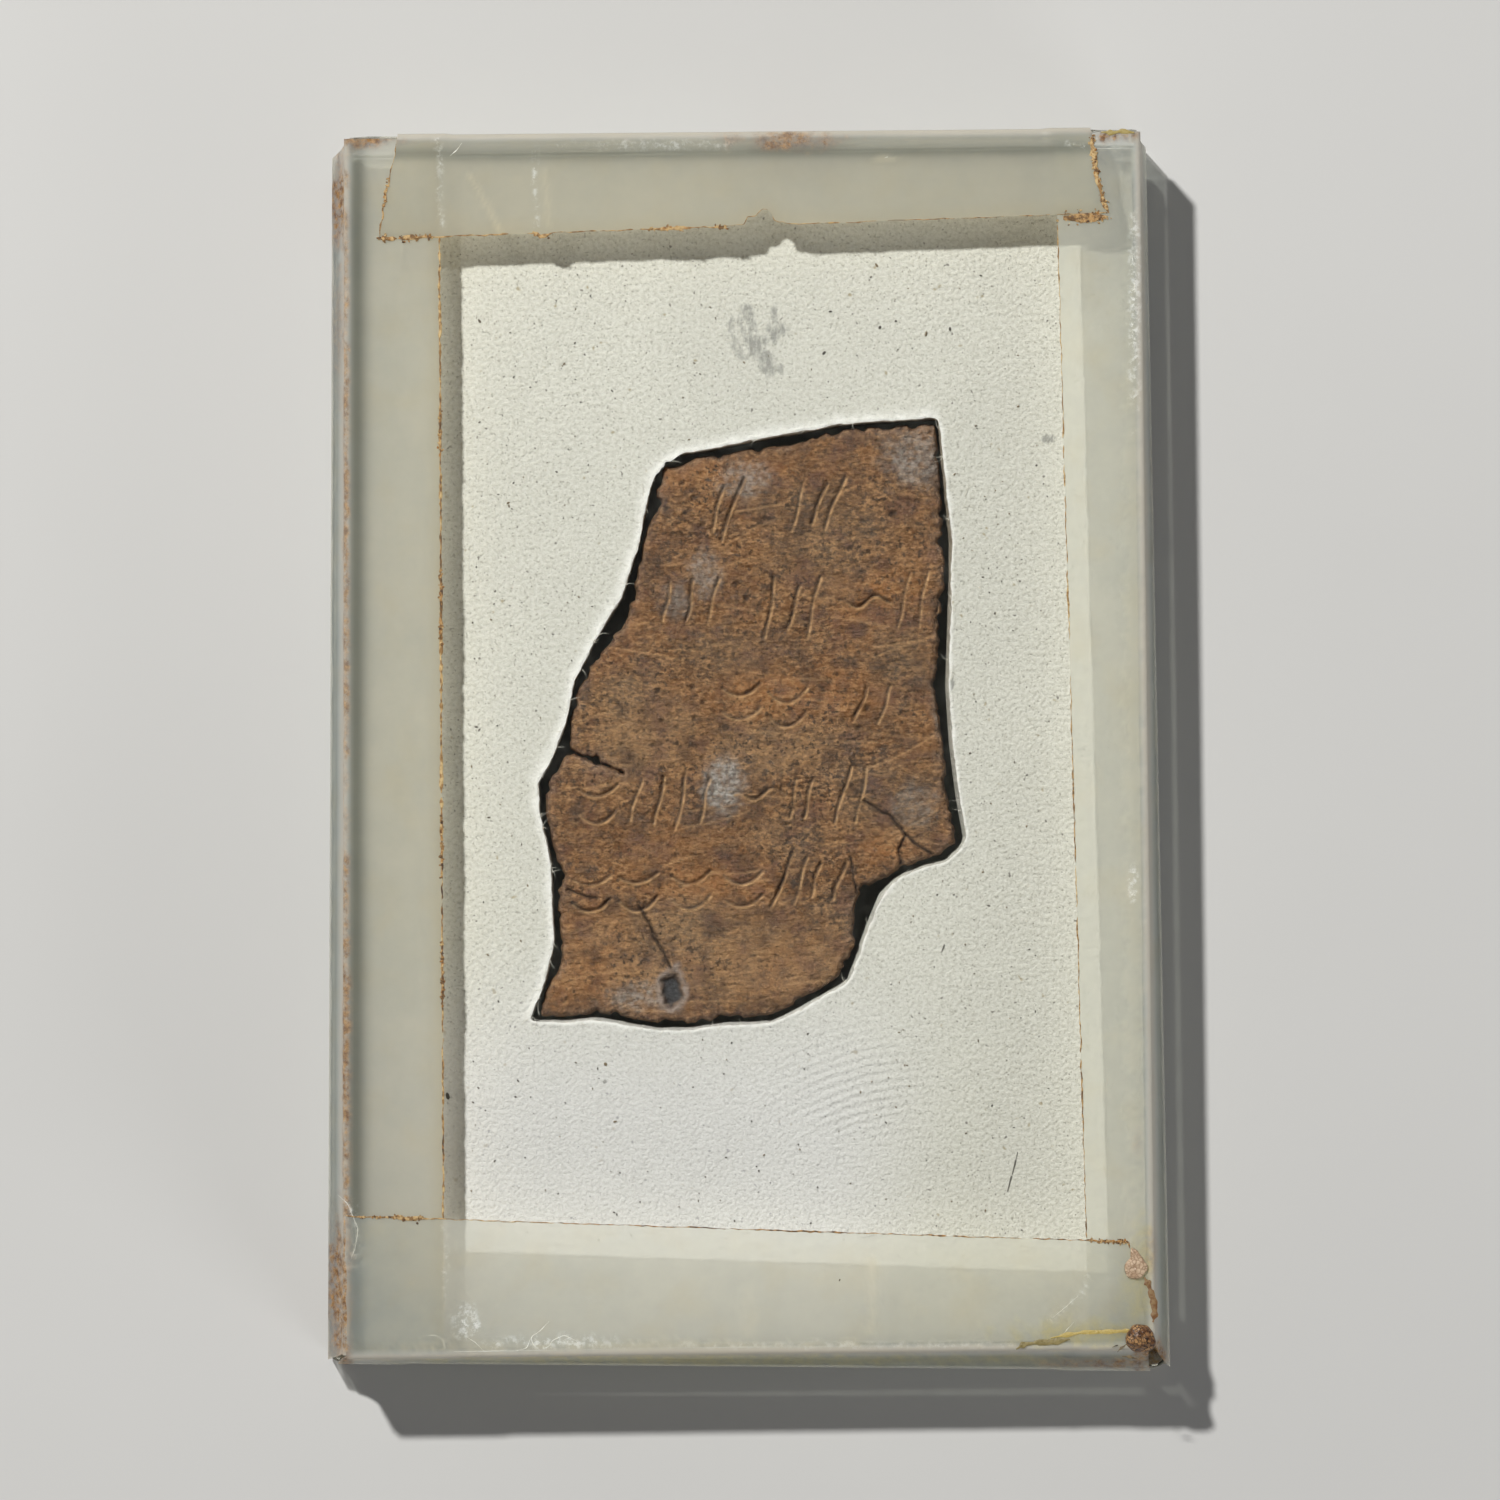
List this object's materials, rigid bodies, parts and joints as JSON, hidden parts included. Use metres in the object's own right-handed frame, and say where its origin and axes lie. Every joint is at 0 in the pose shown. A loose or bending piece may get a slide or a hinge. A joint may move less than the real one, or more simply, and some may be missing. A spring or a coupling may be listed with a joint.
{
  "type": "inscribed lead fragment in a glass mount",
  "caption": "Thin broken lead sheet with incised marks, lying in a cut-out card between glass plates bound at the edges with clear tape; rests flat on its back.",
  "frame": {"origin": "middle of the underside, on the plane of the lowest tape", "axes": "+X to the right and +Y to the top as one looks at the fragment, +Z from the back plate to the cover"},
  "size_m": [0.0532, 0.078, 0.0093],
  "materials": {
    "lead": "earthy brown corrosion skin over lead, matte, with grey patches",
    "card": "soft off-white thick card, slightly toothed and scuffed",
    "cover_glass": "clear old window glass, faint green",
    "back_glass": "clear old window glass, faint green",
    "tape": "aged clear tape, hazy",
    "adhesive": "crusted orange-brown aged adhesive"
  },
  "bodies": {
    "root": {"lead_fragment": "lead", "mount_card": "card", "front_glass": "cover_glass", "back_glass": "back_glass", "tape_left": "tape", "tape_right": "tape", "tape_top": "tape", "tape_bottom": "tape", "adhesive_upper_left": "adhesive", "adhesive_lower_left": "adhesive", "adhesive_right_edge": "adhesive", "adhesive_corner": "adhesive"}
  },
  "joints": []
}
